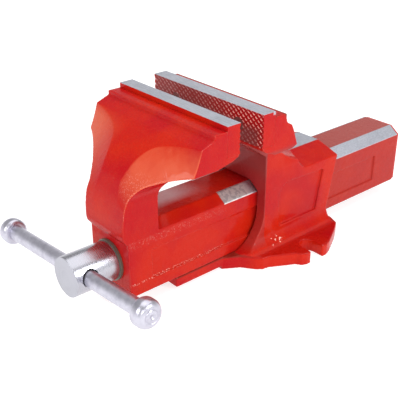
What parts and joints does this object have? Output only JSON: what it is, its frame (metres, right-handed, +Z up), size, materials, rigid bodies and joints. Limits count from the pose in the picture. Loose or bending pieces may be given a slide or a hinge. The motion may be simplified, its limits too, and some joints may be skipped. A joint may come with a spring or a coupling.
{
  "type": "bench vise",
  "caption": "Fixed-base engineer's bench vise: hollow square slide with a front jaw, drawn by a lead screw in a nut inside, turned by a sliding tommy bar.",
  "frame": {"origin": "on the underside of the base, midway between the two bolt slots", "axes": "+X along the jaws, +Y from the operator to the rear along the screw, +Z up"},
  "size_m": [0.2373, 0.429, 0.173],
  "materials": {
    "body_enamel": "gloss orange-red enamel over a sand casting",
    "slide_enamel": "gloss orange-red enamel over a sand casting",
    "jaw_steel": "surface-ground top, diamond-cut gripping face",
    "screw_steel": "black oxide",
    "nut_iron": "machined grey iron, oiled",
    "zinc_steel": "zinc plated",
    "bronze": "turned bronze",
    "spindle_steel": "turned and polished, oiled thread",
    "bar_chrome": "bright plated"
  },
  "bodies": {
    "base": {"static_body": "body_enamel", "rear_jaw_plate": "jaw_steel", "rear_plate_screw_left": "screw_steel", "rear_plate_screw_right": "screw_steel", "spindle_nut": "nut_iron", "nut_bolts": "zinc_steel", "nut_washers": "zinc_steel"},
    "slide": {"moving_jaw": "slide_enamel", "front_jaw_plate": "jaw_steel", "front_plate_screw_left": "screw_steel", "front_plate_screw_right": "screw_steel", "spindle_bush": "bronze", "slide_end_cover": "slide_enamel", "end_cover_screws": "screw_steel"},
    "screw": {"spindle": "spindle_steel", "thrust_washer": "zinc_steel", "retaining_collar": "spindle_steel", "collar_pin": "screw_steel", "spindle_end_washer": "zinc_steel", "spindle_end_screw": "screw_steel"},
    "handle": {"tommy_bar": "bar_chrome", "handle_knob_left": "bar_chrome", "handle_knob_right": "bar_chrome"}
  },
  "joints": [
    {"name": "jaw_slide", "type": "slide", "parent": "base", "child": "slide", "axis": [0, -1, 0], "range_m": [-0.0264, 0.1236]},
    {"name": "screw_turn", "type": "hinge", "parent": "slide", "child": "screw", "pos_m": [0, -0.226, 0.042], "axis": [0, -1, 0], "range_deg": [-1900.8, 8899.2]},
    {"name": "bar_slide", "type": "slide", "parent": "screw", "child": "handle", "axis": [0.9956, 0, 0.0932], "range_m": [-0.0712, 0.0972]}
  ],
  "couplings": [
    {"joint": "jaw_slide", "follows": "screw_turn", "m_per_rad": 0.00079577}
  ]
}
